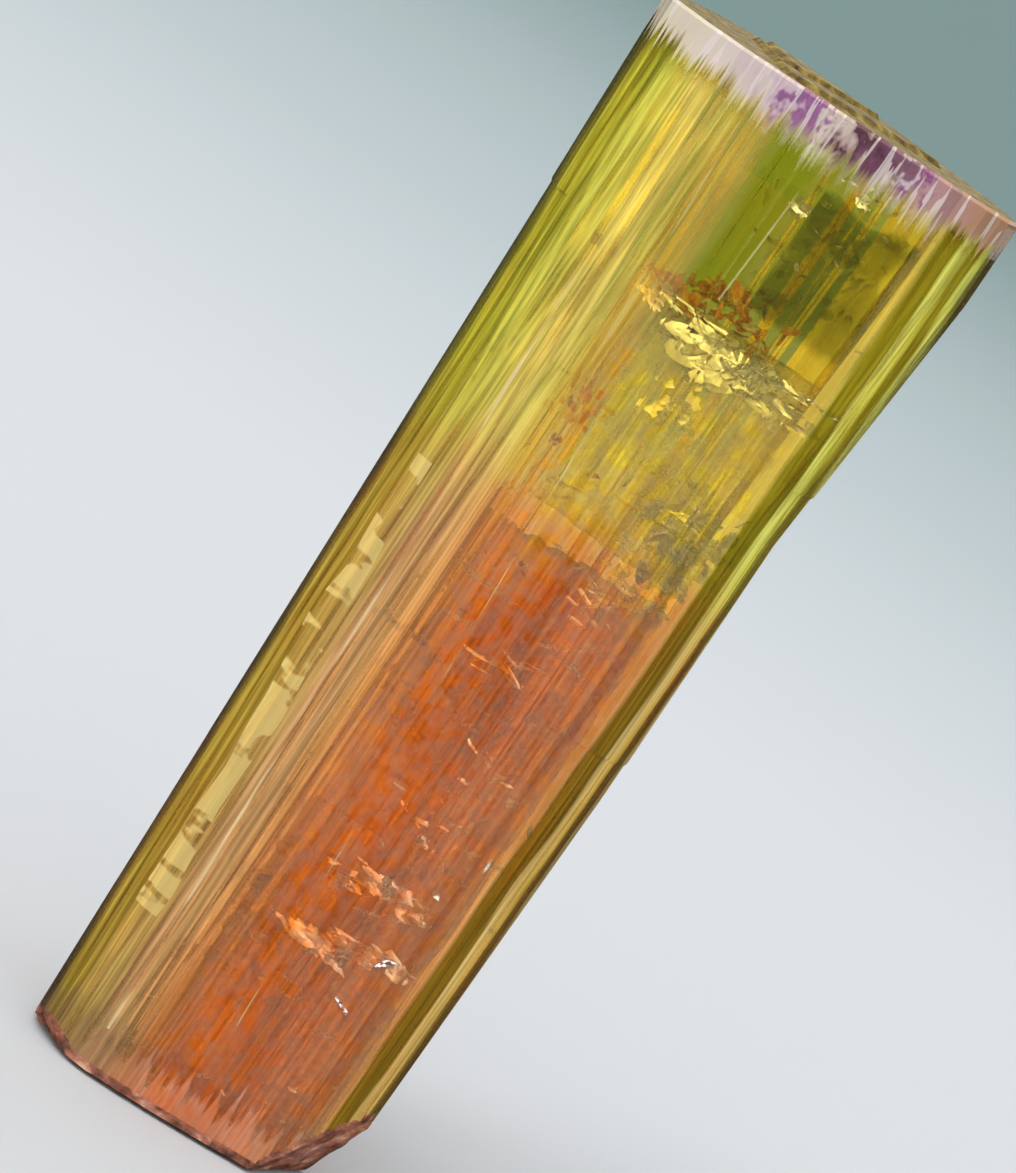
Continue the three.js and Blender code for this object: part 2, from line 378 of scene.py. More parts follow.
class Nodes:
    """A short way to write a material's nodes."""

    def __init__(self, name):
        self.material = bpy.data.materials.new(name)
        self.material.use_nodes = True
        self.material.use_transparent_shadow = False
        self.tree = self.material.node_tree
        self.tree.nodes.clear()
        self.output = self.tree.nodes.new("ShaderNodeOutputMaterial")

    def add(self, kind, inputs=None, **settings):
        node = self.tree.nodes.new("ShaderNode" + kind)
        for key, value in settings.items():
            setattr(node, key, value)
        for key, value in (inputs or {}).items():
            if isinstance(value, bpy.types.NodeSocket):
                self.tree.links.new(value, node.inputs[key])
            else:
                node.inputs[key].default_value = value
        return node

    def surface(self, inputs, kind="BsdfPrincipled"):
        shader = self.add(kind, inputs)
        self.tree.links.new(shader.outputs[0], self.output.inputs["Surface"])

    def absorption(self, colour, density):
        """What the inside takes out of the light along its way."""
        fog = self.add("VolumeAbsorption", {"Color": (*colour, 1), "Density": density})
        self.tree.links.new(fog.outputs[0], self.output.inputs["Volume"])

    def math(self, operation, a, b=0.0, clamp=False):
        return self.add("Math", {0: a, 1: b}, operation=operation, use_clamp=clamp).outputs[0]

    def ramp(self, value, stops):
        node = self.add("ValToRGB", {"Fac": value})
        ramp = node.color_ramp
        while len(ramp.elements) < len(stops):
            ramp.elements.new(0.5)
        for element, (at, colour) in zip(ramp.elements, stops):
            element.position = at
            element.color = (*colour, 1)
        return node.outputs["Color"]

    def mix(self, factor, a, b, kind="RGBA", blend="MIX"):
        """a where factor is 0, b where it is 1."""
        first, second, out = (2, 3, 0) if kind == "FLOAT" else (6, 7, 2)
        node = self.add("Mix", {0: factor, first: a, second: b}, data_type=kind)
        node.blend_type = blend
        return node.outputs[out]

    def place(self, scale=(1, 1, 1)):
        """Object coordinates in millimetres, stretched by scale."""
        where = self.add("TexCoord").outputs["Object"]
        scaled = tuple(s / MM for s in scale)
        return self.add("VectorMath", {0: where, 1: scaled}, operation="MULTIPLY").outputs[0]

    def flat_noise(self, x, z, scale, detail, rough=0.6):
        """Noise over the front face, which is the same right through the crystal."""
        at = self.add("CombineXYZ", {0: self.math("MULTIPLY", x, scale[0]),
                                     1: self.math("MULTIPLY", z, scale[1])}).outputs[0]
        return self.noise_at(at, detail, rough, "2D")

    def noise(self, scale, detail, rough):
        return self.noise_at(self.place(scale), detail, rough)

    def noise_at(self, vector, detail, rough, dimensions="3D"):
        node = self.add("TexNoise", {"Vector": vector, "Scale": 1.0, "Detail": detail,
                                     "Roughness": rough}, noise_dimensions=dimensions)
        return node.outputs["Fac"]

    def remap(self, value, low, high, to_low=0.0, to_high=1.0):
        """value taken from the range low to high into another one, and kept inside it."""
        node = self.add("MapRange", {"Value": value, "From Min": low, "From Max": high,
                                     "To Min": to_low, "To Max": to_high})
        return node.outputs[0]

    def product(self, first, *others):
        for other in others:
            first = self.math("MULTIPLY", first, other)
        return first

    def between(self, value, low, high):
        """1 where low < value < high, else 0."""
        return self.product(self.math("GREATER_THAN", value, low),
                            self.math("LESS_THAN", value, high))


# The front's finish is used where y is below this.
FRONT_EDGE = -0.5
# The ends of the ramps across the front, in millimetres from the axis.
RAMP_LEFT = -8.0
RAMP_RIGHT = 9.0
# The bands spread from the foot to the top by these shares, left and right of the axis.
LEFT_FLARE = 0.217
RIGHT_FLARE = 0.11
# Frosted bands across the front face, as (millimetres from the axis, tint, how frosted). The dark olive
# band from 5.72 to 6.35 is painted shade: the dark surroundings that a narrow facet shows there.
DARK = (0.06, 0.04, 0.01)
OLIVE = (0.20, 0.13, 0.01)
AMBER = (0.45, 0.33, 0.05)
STRAW = (0.80, 0.68, 0.28)
HAZE = (0.70, 0.45, 0.18)
FRONT_BANDS = (
    (-6.95, DARK, 0.9), (-6.72, OLIVE, 0.8), (-6.5, AMBER, 0.7), (-6.35, OLIVE, 0.75),
    (-6.15, AMBER, 0.7), (-5.98, OLIVE, 0.75), (-5.75, (0.50, 0.36, 0.08), 0.6),
    (-4.75, (0.58, 0.42, 0.12), 0.5), (-4.4, HAZE, 0.5), (-3.3, HAZE, 0.45),
    (-2.5, (0.84, 0.40, 0.13), 0.3), (-1.5, (0.95, 0.34, 0.08), 0.12),
    (-1.0, (0.98, 0.25, 0.02), 0.0), (1.2, (1.0, 0.25, 0.04), 0.0), (3.0, (1.0, 0.33, 0.13), 0.0),
    (5.0, (0.94, 0.36, 0.10), 0.0), (5.6, (0.72, 0.48, 0.20), 0.3), (5.72, OLIVE, 0.7),
    (6.35, OLIVE, 0.75), (6.45, STRAW, 0.5), (6.8, (0.56, 0.44, 0.12), 0.45), (6.9, OLIVE, 0.7),
    (7.15, OLIVE, 0.7), (7.25, STRAW, 0.5), (7.45, (0.36, 0.30, 0.10), 0.6), (7.6, DARK, 0.7),
)
# Tint of the cap across the front.
CAP_TINTS = (
    (-7.5, (0.80, 0.72, 0.55)), (-3.5, (0.80, 0.68, 0.66)), (-2.1, (0.70, 0.52, 0.62)),
    (-1.6, (0.34, 0.14, 0.34)), (-0.6, (0.42, 0.18, 0.40)), (-0.2, (0.80, 0.70, 0.60)),
    (0.7, (0.50, 0.34, 0.34)), (1.1, (0.12, 0.05, 0.08)), (2.2, (0.22, 0.09, 0.16)),
    (3.2, (0.30, 0.16, 0.22)), (3.6, (0.80, 0.68, 0.70)), (4.2, (0.30, 0.09, 0.26)),
    (4.9, (0.56, 0.34, 0.36)), (7.5, (0.52, 0.30, 0.18)),
)
# Tint of the foot across the front.
FOOT_TINTS = ((-6.5, (0.16, 0.09, 0.05)), (-3.5, (0.32, 0.14, 0.09)), (-1.0, (0.66, 0.20, 0.12)),
              (3.5, (0.62, 0.24, 0.13)), (5.5, (0.30, 0.16, 0.07)), (7.0, (0.20, 0.12, 0.03)))
# How strong the fine striae are across the front.
STRIAE_STRENGTH = ((-7.0, 1.0), (-5.2, 0.8), (-1.6, 0.7), (-0.9, 0.15), (5.4, 0.15), (5.8, 0.5),
                   (7.6, 0.8))
# Light growth lines on the front: x at the bottom and top, the heights they run between, and
# half their width.
GROWTH_LINES = ((0.3, -1.35, 5.0, 38.0, 0.03), (-4.0, -4.6, 2.0, 48.0, 0.06),
                (0.1, 0.4, 41.0, 47.5, 0.04), (-2.2, -2.6, 30.0, 48.0, 0.04))
LIGHT_LINE = (0.95, 0.80, 0.42, 1)
# The strip of light cells near the left edge, across and along.
STRAW_STRIP = (-5.85, -5.0)
STRAW_HEIGHTS = (7.0, 29.0)
STRAW_CELL = (0.88, 0.74, 0.26, 1)
# Tint of the clear crystal, as (share of the length, tint).
LENGTH_TINTS = (
    (0.0, (0.80, 0.42, 0.30)), (0.03, (0.97, 0.78, 0.56)), (0.5, (0.99, 0.84, 0.62)),
    (0.6, (1.0, 0.93, 0.66)), (0.78, (1.0, 0.94, 0.54)), (0.94, (0.99, 0.96, 0.40)),
)
# Shares of the length between which the cap, the upper half and the film set in.
CAP_SHARES = (0.950, 0.975)
UPPER_SHARES = (0.54, 0.66)
FILM_SHARES = (0.80, 0.74)
FILM_STRENGTH = 0.4
FILM_REACH = (-3.0, 6.0)
BEIGE_REACH = (-1.3, 5.3)
BEIGE = (1.0, 0.74, 0.09, 1)
UPPER_GAIN = (1.15, 1.5, 0.9, 1)
STREAK_LEVELS = (0.72, 1.35)
CAP_BLOT_SHIFT = 4.0
CAP_STROKES = (0.92, 0.82, 0.80, 1)
CAP_ELSEWHERE = (0.70, 0.48, 0.56, 1)
FOOT_REACH = 4.4
FOOT_FROST = 0.6
FRONT_ROUGHNESS = (0.012, 0.22)
BACK_ROUGHNESS = 0.14
IOR = 1.63
# The straw yellow of the whole crystal, and how strongly it is taken out of the light.
BODY_FOG = ((0.995, 0.88, 0.02), 130.0)


def straw_windows(n, x, z):
    """Light cells in a narrow strip near the left edge."""
    cells = n.flat_noise(x, z, (0.45, 0.8), 2)
    return n.product(n.between(x, *STRAW_STRIP), n.between(z, *STRAW_HEIGHTS),
                     n.remap(cells, 0.46, 0.52))


def growth_lines(n, x, z):
    """1 on the light growth lines, 0 off them."""
    total = 0.0
    for low_x, high_x, low, high, wide in GROWTH_LINES:
        slope = (high_x - low_x) / (high - low)
        middle = n.math("ADD", n.product(n.math("SUBTRACT", z, low), slope), low_x)
        off = n.math("ABSOLUTE", n.math("SUBTRACT", x, middle))
        line = n.product(n.math("LESS_THAN", off, wide), n.between(z, low, high))
        total = n.math("MAXIMUM", total, line)
    return total


def ramp_place(n, x):
    return n.remap(x, RAMP_LEFT, RAMP_RIGHT)


def ramp_across(n, place, rows):
    """A ramp across the front, from rows of millimetres from the axis and a colour or number."""
    stops = []
    for at, value in rows:
        colour = value if isinstance(value, tuple) else (value, value, value)
        stops.append(((at - RAMP_LEFT) / (RAMP_RIGHT - RAMP_LEFT), colour))
    return n.ramp(place, stops)


def cap_tint(n, x, front, blots, worn):
    """Tint of the cap: blots in mauve and white on the front, plain mauve elsewhere."""
    shifted = n.math("ADD", x, n.product(n.math("SUBTRACT", blots, 0.5), CAP_BLOT_SHIFT))
    mauve = ramp_across(n, ramp_place(n, shifted), CAP_TINTS)
    pale = n.product(n.math("GREATER_THAN", worn, 0.59), 0.7)
    mauve = n.mix(pale, mauve, CAP_STROKES)
    return n.mix(front, CAP_ELSEWHERE, mauve)


def place_across(n, x, share):
    """The place across the front, scaled back to its width at the foot."""
    left = n.math("ADD", n.product(share, LEFT_FLARE), 1.0)
    right = n.math("ADD", n.product(share, RIGHT_FLARE), 1.0)
    flare = n.mix(n.math("LESS_THAN", x, 0.0), right, left, "FLOAT")
    return n.math("DIVIDE", x, flare)


def crystal_material():
    """Clear tourmaline with frosted striae, tinted in zones along its length."""
    n = Nodes("crystal_glass")
    where = n.add("SeparateXYZ", {0: n.place()})
    x, y, z = (where.outputs[axis] for axis in "XYZ")
    front = n.math("LESS_THAN", y, FRONT_EDGE)
    share = n.math("DIVIDE", z, LENGTH)
    waver = n.math("SUBTRACT", n.flat_noise(x, z, (0.5, 0.1), 2), 0.5)
    fibre = n.noise((6.0, 6.0, 0.03), 1, 0.6)
    blots = n.flat_noise(x, z, (1.5, 1.0), 2)
    worn = n.flat_noise(x, z, (2.5, 0.14), 2)
    # Along the length: pink, straw yellow, lime, and a mauve cap.
    tint = n.ramp(n.math("ADD", share, n.product(waver, 0.06)), LENGTH_TINTS)
    strokes = n.product(n.math("SUBTRACT", fibre, 0.5), 0.05)
    capped = n.remap(n.math("ADD", share, strokes), *CAP_SHARES)
    tint = n.mix(capped, tint, cap_tint(n, x, front, blots, worn))
    # Across the front: frosted olive rims and a beige haze beside the clear middle. The olive band right
    # of the middle is painted shade, for the dark view through a narrow facet.
    across = place_across(n, x, share)
    place = ramp_place(n, n.math("ADD", across, n.product(waver, 0.4)))
    bands = ramp_across(n, place, [(at, colour) for at, colour, _ in FRONT_BANDS])
    cover = ramp_across(n, place, [(at, frost) for at, _, frost in FRONT_BANDS])
    upper = n.remap(n.math("ADD", share, n.product(waver, 0.1)), *UPPER_SHARES)
    bands = n.mix(upper, bands, UPPER_GAIN, blend="MULTIPLY")
    patchy = n.remap(worn, 0.36, 0.56, 0.6)
    below_cap = n.math("SUBTRACT", 1.0, capped)
    cover = n.product(cover, patchy, front, below_cap)
    # A thin milky film over the core, below the lime and olive part, and beige above the pink.
    film = n.remap(share, *FILM_SHARES, 0.0, FILM_STRENGTH)
    film = n.product(film, n.between(across, *FILM_REACH), front, blots)
    cover = n.math("MAXIMUM", cover, film)
    beige = n.product(upper, n.between(across, *BEIGE_REACH))
    bands = n.mix(beige, bands, BEIGE)
    # Fine striae: narrow stripes along the axis, strongest beside the clear middle of the front.
    calm = ramp_across(n, place, STRIAE_STRENGTH)
    fine = n.remap(fibre, 0.38, 0.66)
    haze = n.product(fine, n.mix(front, 0.5, calm, "FLOAT"))
    streaked = n.remap(fine, 0.0, 1.0, *STREAK_LEVELS)
    bands = n.add("VectorMath", {0: bands, "Scale": streaked}, operation="SCALE").outputs[0]
    tint = n.mix(n.math("MULTIPLY", cover, 4.0, clamp=True), tint, bands)
    # The foot is darker and frosted.
    foot = n.math("SUBTRACT", n.product(worn, FOOT_REACH), z, clamp=True)
    foot = n.product(foot, front, FOOT_FROST)
    tint = n.mix(foot, tint, ramp_across(n, place, FOOT_TINTS))
    # Light growth lines, and light cells near the left edge.
    light = n.product(front, growth_lines(n, across, z), n.remap(worn, 0.42, 0.58))
    tint = n.mix(light, tint, LIGHT_LINE)
    wavered = n.math("ADD", across, n.product(waver, 1.2))
    window = n.product(front, straw_windows(n, wavered, z))
    tint = n.mix(n.product(window, 0.8), tint, STRAW_CELL)
    frosted = n.math("MAXIMUM", n.product(capped, 0.6), n.product(light, 0.3))
    frosted = n.math("MAXIMUM", frosted, n.product(window, 0.5))
    frosted = n.math("MAXIMUM", frosted, n.math("MAXIMUM", cover, foot))
    rough = n.mix(front, BACK_ROUGHNESS, n.remap(haze, 0.0, 1.0, *FRONT_ROUGHNESS), "FLOAT")
    n.surface({
        "Base Color": tint, "Roughness": rough, "IOR": IOR, "Specular IOR Level": 0.35,
        "Transmission Weight": n.math("SUBTRACT", 0.99, frosted)})
    n.absorption(*BODY_FOG)
    return n.material


def rough_end(name, stops, scale, roughness, clear):
    """A rough broken or grown end, in mottled colours."""
    n = Nodes(name)
    colour = n.ramp(n.noise(scale, 4.0, 0.65), stops)
    pits = n.noise((3.5, 3.5, 3.5), 3.0, 0.6)
    bump = n.add("Bump", {"Height": pits, "Strength": 0.5, "Distance": 0.1 * MM})
    n.surface({
        "Base Color": colour, "Roughness": roughness, "IOR": IOR, "Specular IOR Level": 0.15,
        "Transmission Weight": clear, "Normal": bump.outputs[0]})
    n.absorption(*BODY_FOG)
    return n.material


TOP_COLOURS = ((0.3, (0.05, 0.03, 0.005)), (0.5, (0.20, 0.14, 0.02)), (0.7, (0.46, 0.34, 0.08)))
BASE_COLOURS = ((0.36, (0.09, 0.035, 0.02)), (0.46, (0.26, 0.09, 0.05)),
                (0.55, (0.48, 0.17, 0.11)), (0.65, (0.74, 0.44, 0.28)))
# Faces no deeper than this below the top plane belong to the rough top.
TOP_DEPTH = 0.1


def face_slots(points, faces):
    """Which finish each face has: 0 clear wall, 1 rough top, 2 broken base."""
    points = np.array(points)
    slots = []
    for face in faces:
        corners = points[list(face)]
        middle = corners.mean(axis=0)
        broken = break_height(middle[0:1], middle[1:2])[0]
        if corners[:, 2].min() > LENGTH - TOP_DEPTH:
            slots.append(1)
        elif middle[2] < broken + BREAK_ROUGHNESS:
            slots.append(2)
        else:
            slots.append(0)
    return slots


CRYSTAL_FINISHES = (
    crystal_material(),
    rough_end("rough_top", TOP_COLOURS, (1.6, 1.6, 1.6), 0.6, 0.2),
    rough_end("broken_base", BASE_COLOURS, (0.8, 0.8, 1.2), 0.5, 0.25),
)
crystal = piece(mesh_object("crystal_glass", CRYSTAL_POINTS, CRYSTAL_FACES, CRYSTAL_FINISHES,
                            merge=0.006, slots=face_slots(CRYSTAL_POINTS, CRYSTAL_FACES)))
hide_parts("crystal")


# Mesh of a colour zone: columns round it, rows along it, rings on each end.
ZONE_COLUMNS = 120
ZONE_ROWS = 24
ZONE_END_RINGS = 8
ZONE_FLARE = 0.12


def zone_mesh(scale, low, high, wave, seed):
    """A closed prism inside the crystal, of its outline at that scale, with uneven ends."""
    stops = np.arange(ZONE_COLUMNS) / ZONE_COLUMNS * PERIMETER
    line = np.array([outline_point(s) for s in stops]) * scale
    rings = []
    for k in range(ZONE_END_RINGS, 0, -1):
        rings.append((line * (1 - k / ZONE_END_RINGS), low, 0))
    for k in range(ZONE_ROWS + 1):
        rings.append((line, low + (high - low) * k / ZONE_ROWS, k / ZONE_ROWS))
    for k in range(1, ZONE_END_RINGS + 1):
        rings.append((line * (1 - k / ZONE_END_RINGS), high, 1))
    points = []
    for xy, z, part in rings:
        grow = 1 + (z / LENGTH - 0.5) * ZONE_FLARE
        unevenness = wave * (1 if part > 0.5 else 0.4)
        for x, y in xy:
            end = unevenness * noise.noise(Vector((x * 0.9, y * 0.9, seed)))
            points.append((x * grow, y * grow, z + end))
    faces = []
    for r in range(len(rings) - 1):
        for i in range(ZONE_COLUMNS):
            a = r * ZONE_COLUMNS + i
            b = r * ZONE_COLUMNS + (i + 1) % ZONE_COLUMNS
            faces.append((a, b, b + ZONE_COLUMNS, a + ZONE_COLUMNS))
    return points, faces


def zone_material(name, colour, density):
    """A colour zone: no surface of its own, only what it takes out of the light."""
    n = Nodes(name)
    n.surface({"Base Color": (1, 1, 1, 1), "Roughness": 0.0, "IOR": 1.0, "Transmission Weight": 1.0})
    n.absorption(colour, density)
    return n.material


def zone(name, scale, low, high, colour, density, wave, seed):
    points, faces = zone_mesh(scale, low, high, wave, seed)
    piece(mesh_object(name, points, faces, zone_material(name, colour, density), merge=0.004))


zone("pink_zone", 0.76, 0.7, 29.6, (0.97, 0.14, 0.5), 62.0, 0.9, 2.0)
zone("mauve_cap", 0.93, 48.25, 49.7, (0.88, 0.55, 0.8), 60.0, 0.2, 6.0)

SLAB_STEPS = (24, 14, 30)


def slab(low, high, wave, seed):
    """A closed block with softly uneven faces."""
    low, high = np.array(low), np.array(high)
    points = {}
    faces = []

    def index(i, j, k):
        if (i, j, k) not in points:
            f = np.array((i, j, k)) / SLAB_STEPS
            at = low + (high - low) * f
            shift = [wave * noise.noise(Vector(at * 0.8) + Vector((seed + 9 * axis, 0, 0)))
                     for axis in range(3)]
            points[(i, j, k)] = (len(points), at + shift)
        return points[(i, j, k)][0]

    for axis in range(3):
        u, v = (axis + 1) % 3, (axis + 2) % 3
        for end in (0, SLAB_STEPS[axis]):
            for a in range(SLAB_STEPS[u]):
                for b in range(SLAB_STEPS[v]):
                    loop = []
                    for da, db in ((0, 0), (1, 0), (1, 1), (0, 1)):
                        corner = [0, 0, 0]
                        corner[axis], corner[u], corner[v] = end, a + da, b + db
                        loop.append(index(*corner))
                    faces.append(tuple(loop) if end else tuple(reversed(loop)))
    return [tuple(at) for _, at in points.values()], faces


piece(mesh_object("olive_block", *slab((1.0, -4.3, 41.4), (5.4, -1.4, 46.8), 0.7, 6.0),
                  zone_material("olive_block", (0.5, 0.56, 0.0), 620.0), smooth=True))
piece(mesh_object("lime_window", *slab((-3.7, -5.0, 40.6), (0.35, -1.6, 48.0), 0.4, 3.0),
                  zone_material("lime_window", (0.90, 0.96, 0.0), 560.0), smooth=True))


# The colours of a mottled finish change in patches this much finer than its cover, elsewhere.
HUE_SCALE = 1.7
HUE_SHIFT = (7, 3, 11)


def mottled(name, colours, alpha, scale, roughness=0.6, detail=4.0, edge=(0.4, 0.62)):
    """Cloud, veil or stain: patchy cover between two alphas, in several colours."""
    n = Nodes(name)
    patch = n.noise(scale, detail, 0.6)
    finer = n.place(tuple(HUE_SCALE * s for s in scale))
    elsewhere = n.add("VectorMath", {0: finer, 1: HUE_SHIFT}, operation="ADD").outputs[0]
    hue = n.noise_at(elsewhere, 1.0, 0.5)
    stops = [(0.3 + 0.4 * k / (len(colours) - 1), c) for k, c in enumerate(colours)]
    n.surface({"Base Color": n.ramp(hue, stops), "Roughness": roughness,
               "Alpha": n.remap(patch, *edge, *alpha)})
    return n.material


def join(parts):
    """Several (points, faces) as one."""
    points, faces = [], []
    for some, more in parts:
        base = len(points)
        points.extend(some)
        faces.extend(tuple(base + i for i in face) for face in more)
    return points, faces


def scatter(rows, seed, make):
    """Parts round the places in rows: place, spread, how many, then what make needs."""
    draw = random.Random(seed)
    parts = []
    for at, spread, count, *sizes in rows:
        for _ in range(count):
            place = [a + draw.gauss(0, s) for a, s in zip(at, spread)]
            parts.append(make(draw, place, *sizes))
    return join(parts)


# Soft lumps keep their middles this near the axis.
CORE_REACH = 4.6


def core_lump(draw, place, size, stretch):
    """A soft lump of about that radius, moved inwards where it would be too close to the faces."""
    pull = min(1.0, CORE_REACH / math.hypot(place[0], place[1]))
    middle = (place[0] * pull, place[1] * pull, place[2])
    radius = size * draw.uniform(0.6, 1.4)
    return lump(middle, radius, radius * stretch, draw.uniform(0, 99))


def lump(at, wide, tall, seed, rings=9, spokes=14):
    """A rounded uneven blob, stretched along the crystal's axis."""
    points = [(at[0], at[1], at[2] - tall)]
    for r in range(1, rings):
        lean = math.pi * r / rings - math.pi / 2
        for k in range(spokes):
            angle = 2 * math.pi * k / spokes
            way = Vector((math.cos(angle) * math.cos(lean), math.sin(angle) * math.cos(lean),
                          math.sin(lean)))
            far = 1 + 0.5 * noise.noise(way * 1.6 + Vector((seed, 0, 0)))
            points.append((at[0] + wide * far * way.x, at[1] + wide * far * way.y,
                           at[2] + tall * far * way.z))
    points.append((at[0], at[1], at[2] + tall))
    faces = []
    last = len(points) - 1
    for k in range(spokes):
        j = (k + 1) % spokes
        faces.append((0, 1 + j, 1 + k))
        faces.append((last, last - spokes + k, last - spokes + j))
        for r in range(rings - 2):
            a, b = 1 + r * spokes + k, 1 + r * spokes + j
            faces.append((a, b, b + spokes, a + spokes))
    return points, faces


def cloud(name, rows, seed, colours, alpha):
    """A soft inner cloud, of overlapping patchy lumps."""
    material = mottled(name, colours, alpha, (1.6, 1.6, 0.9), detail=5.0, edge=(0.46, 0.6))
    piece(mesh_object(name, *scatter(rows, seed, core_lump), material, smooth=True))


cloud("core_cloud", (
    ((0.6, 0.4, 25.0), (2.0, 1.4, 2.0), 6, 1.3, 1.2),
    ((0.4, 0.4, 14.0), (2.2, 1.4, 5.0), 12, 1.3, 1.6),
    ((0.6, 0.2, 2.6), (2.8, 1.6, 0.8), 4, 1.0, 0.8),
), 73, ((1.0, 0.36, 0.10), (1.0, 0.46, 0.28), (1.0, 0.42, 0.38)), (0.0, 0.5))
cloud("beige_cloud", (
    ((1.5, 0.2, 33.5), (2.4, 1.4, 1.8), 5, 1.3, 1.2),
    ((3.2, 0.2, 37.0), (1.6, 1.2, 1.0), 3, 1.1, 1.0),
), 74, ((1.0, 0.80, 0.42), (1.0, 0.84, 0.55)), (0.0, 0.25))


def plate(centre, normal, reach, thick, wave, seed, rings, spokes, ragged, turn=0.0, square=0.0):
    """A thin closed wavy plate. reach is its half size along two directions across the normal.

    square is 0 for a round outline and 1 for one with straight sides.
    """
    normal = Vector(normal).normalized()
    side = normal.cross(Vector((0, 1, 0) if abs(normal.y) < 0.9 else (1, 0, 0))).normalized()
    side = Matrix.Rotation(turn, 3, normal) @ side
    other = normal.cross(side)
    centre = Vector(centre)
    points = []
    for sign in (1, -1):
        points.append(centre + normal * (sign * thick / 2))
        for r in range(1, rings + (sign > 0)):
            f = r / rings
            for k in range(spokes):
                angle = 2 * math.pi * k / spokes
                way = Vector((math.cos(angle), math.sin(angle), seed))
                far = f * (1 + ragged * f * (noise.noise(way * 1.3) + 0.6 * noise.noise(way * 4.1)))
                far /= max(abs(way.x), abs(way.y)) ** square
                u, v = reach[0] * far * way.x, reach[1] * far * way.y
                bend = wave * noise.noise(Vector((u * 0.8, v * 0.8, seed * 3.1)))
                swell = sign * thick / 2 * (1 - f * f)
                points.append(centre + side * u + other * v + normal * (bend + swell))
    faces = []
    under = 1 + rings * spokes

    def index(sign, r, k):
        k %= spokes
        if r == 0:
            return 0 if sign > 0 else under
        if sign > 0 or r == rings:
            return 1 + (r - 1) * spokes + k
        return under + 1 + (r - 1) * spokes + k

    for sign in (1, -1):
        for r in range(rings):
            for k in range(spokes):
                loop = [index(sign, r, k), index(sign, r + 1, k), index(sign, r + 1, k + 1)]
                if r > 0:
                    loop.append(index(sign, r, k + 1))
                faces.append(tuple(loop) if sign > 0 else tuple(reversed(loop)))
    return [tuple(p) for p in points], faces


def veil(name, at, reach, turn, colours, alpha, scale):
    """A wavy milky sheet along the axis: place, half height and width, turn about the axis."""
    aim = math.radians(turn)
    sheet = plate(at, (math.sin(aim), -math.cos(aim), 0), reach, thick=0.05, wave=0.9, seed=0.7,
                  rings=24, spokes=96, ragged=0.05, square=0.95)
    material = mottled(name, colours, alpha, scale, roughness=0.7, edge=(0.3, 0.7))
    piece(mesh_object(name, *sheet, material, smooth=True))


veil("orange_veil", (-0.4, -2.6, 14.7), (14.2, 2.0), -6,
     ((1.0, 0.42, 0.10), (1.0, 0.36, 0.08), (1.0, 0.54, 0.26)), (0.35, 0.7), (1.2, 1.2, 0.6))
veil("salmon_veil", (3.4, -2.0, 14.9), (14.2, 2.2), 12,
     ((0.80, 0.36, 0.26), (1.0, 0.50, 0.32), (1.0, 0.68, 0.52)), (0.35, 0.75), (1.3, 1.3, 0.9))
veil("beige_veil", (1.8, -2.2, 35.0), (5.2, 3.6), 4,
     ((0.90, 0.72, 0.24), (1.0, 0.84, 0.36), (1.0, 0.92, 0.55)), (0.1, 0.55), (1.0, 1.0, 0.8))


def tilted(towards_front, towards_right):
    """A normal near the crystal's axis, leaning by those degrees."""
    return (math.sin(math.radians(towards_right)), -math.sin(math.radians(towards_front)), 1.0)


# Healed cracks across the prism: place, half sizes, lean to the front and to the right, wave.
CROSS_CRACKS = (
    ((2.3, -4.5, 10.0), (2.1, 0.42), 60, -18, 0.5),
    ((2.6, -4.4, 10.3), (1.2, 0.3), 66, -14, 0.3),
    ((2.4, -4.3, 13.0), (1.8, 0.6), 58, -14, 0.7),
    ((1.9, -4.5, 13.3), (0.9, 0.35), 66, -8, 0.3),
    ((3.2, -4.0, 12.2), (1.4, 0.3), 60, -20, 0.4),
    ((1.4, -4.4, 23.7), (1.7, 0.28), 56, -24, 0.3),
    ((3.8, -3.8, 28.4), (1.3, 0.35), 56, -30, 0.5),
    ((3.0, -3.9, 25.6), (1.2, 0.2), 56, -34, 0.3),
    ((-1.5, -3.8, 26.0), (1.2, 0.25), 50, 6, 0.3),
)
GOLDEN_CRACKS = (
    ((2.2, -4.3, 39.1), (4.0, 0.5), 62, -6, 0.9),
    ((0.9, -4.0, 38.7), (2.0, 0.8), 58, 4, 0.8),
    ((2.6, -4.4, 39.5), (2.4, 0.4), 64, -8, 0.6),
    ((4.0, -4.0, 38.6), (1.6, 0.4), 60, -12, 0.6),
    ((-0.8, -4.3, 40.0), (2.2, 0.4), 62, 5, 0.6),
    ((1.3, -4.5, 39.0), (0.9, 0.5), 66, 0, 0.3),
    ((1.2, -4.2, 36.6), (0.3, 0.9), 72, 20, 0.4),
)
SCATTER_SEED = 11


def cracks(name, rows, colours, scattered=0):
    """Healed cracks, and smaller ones scattered through the core."""
    parts = [plate(at, tilted(front, right), reach, thick=0.05, wave=wave, seed=1.7 * k + 0.3,
                   rings=12, spokes=64, ragged=0.5)
             for k, (at, reach, front, right, wave) in enumerate(rows)]
    draw = random.Random(SCATTER_SEED)
    for k in range(scattered):
        at = (draw.uniform(-3.5, 4.8), draw.uniform(-4.6, -1.0), draw.uniform(2, 31))
        size = draw.uniform(0.2, 0.8)
        normal = tilted(draw.uniform(35, 65), draw.uniform(-30, 30))
        reach = (size, size * draw.uniform(0.15, 0.5))
        parts.append(plate(at, normal, reach, thick=0.03, wave=0.3 * size, seed=k + 30.5,
                           rings=4, spokes=14, ragged=0.6))
    material = mottled(name, colours, (0.0, 1.0), (4.0, 4.0, 4.0), 0.3, 2.0, (0.46, 0.52))
    piece(mesh_object(name, *join(parts), material, smooth=True))


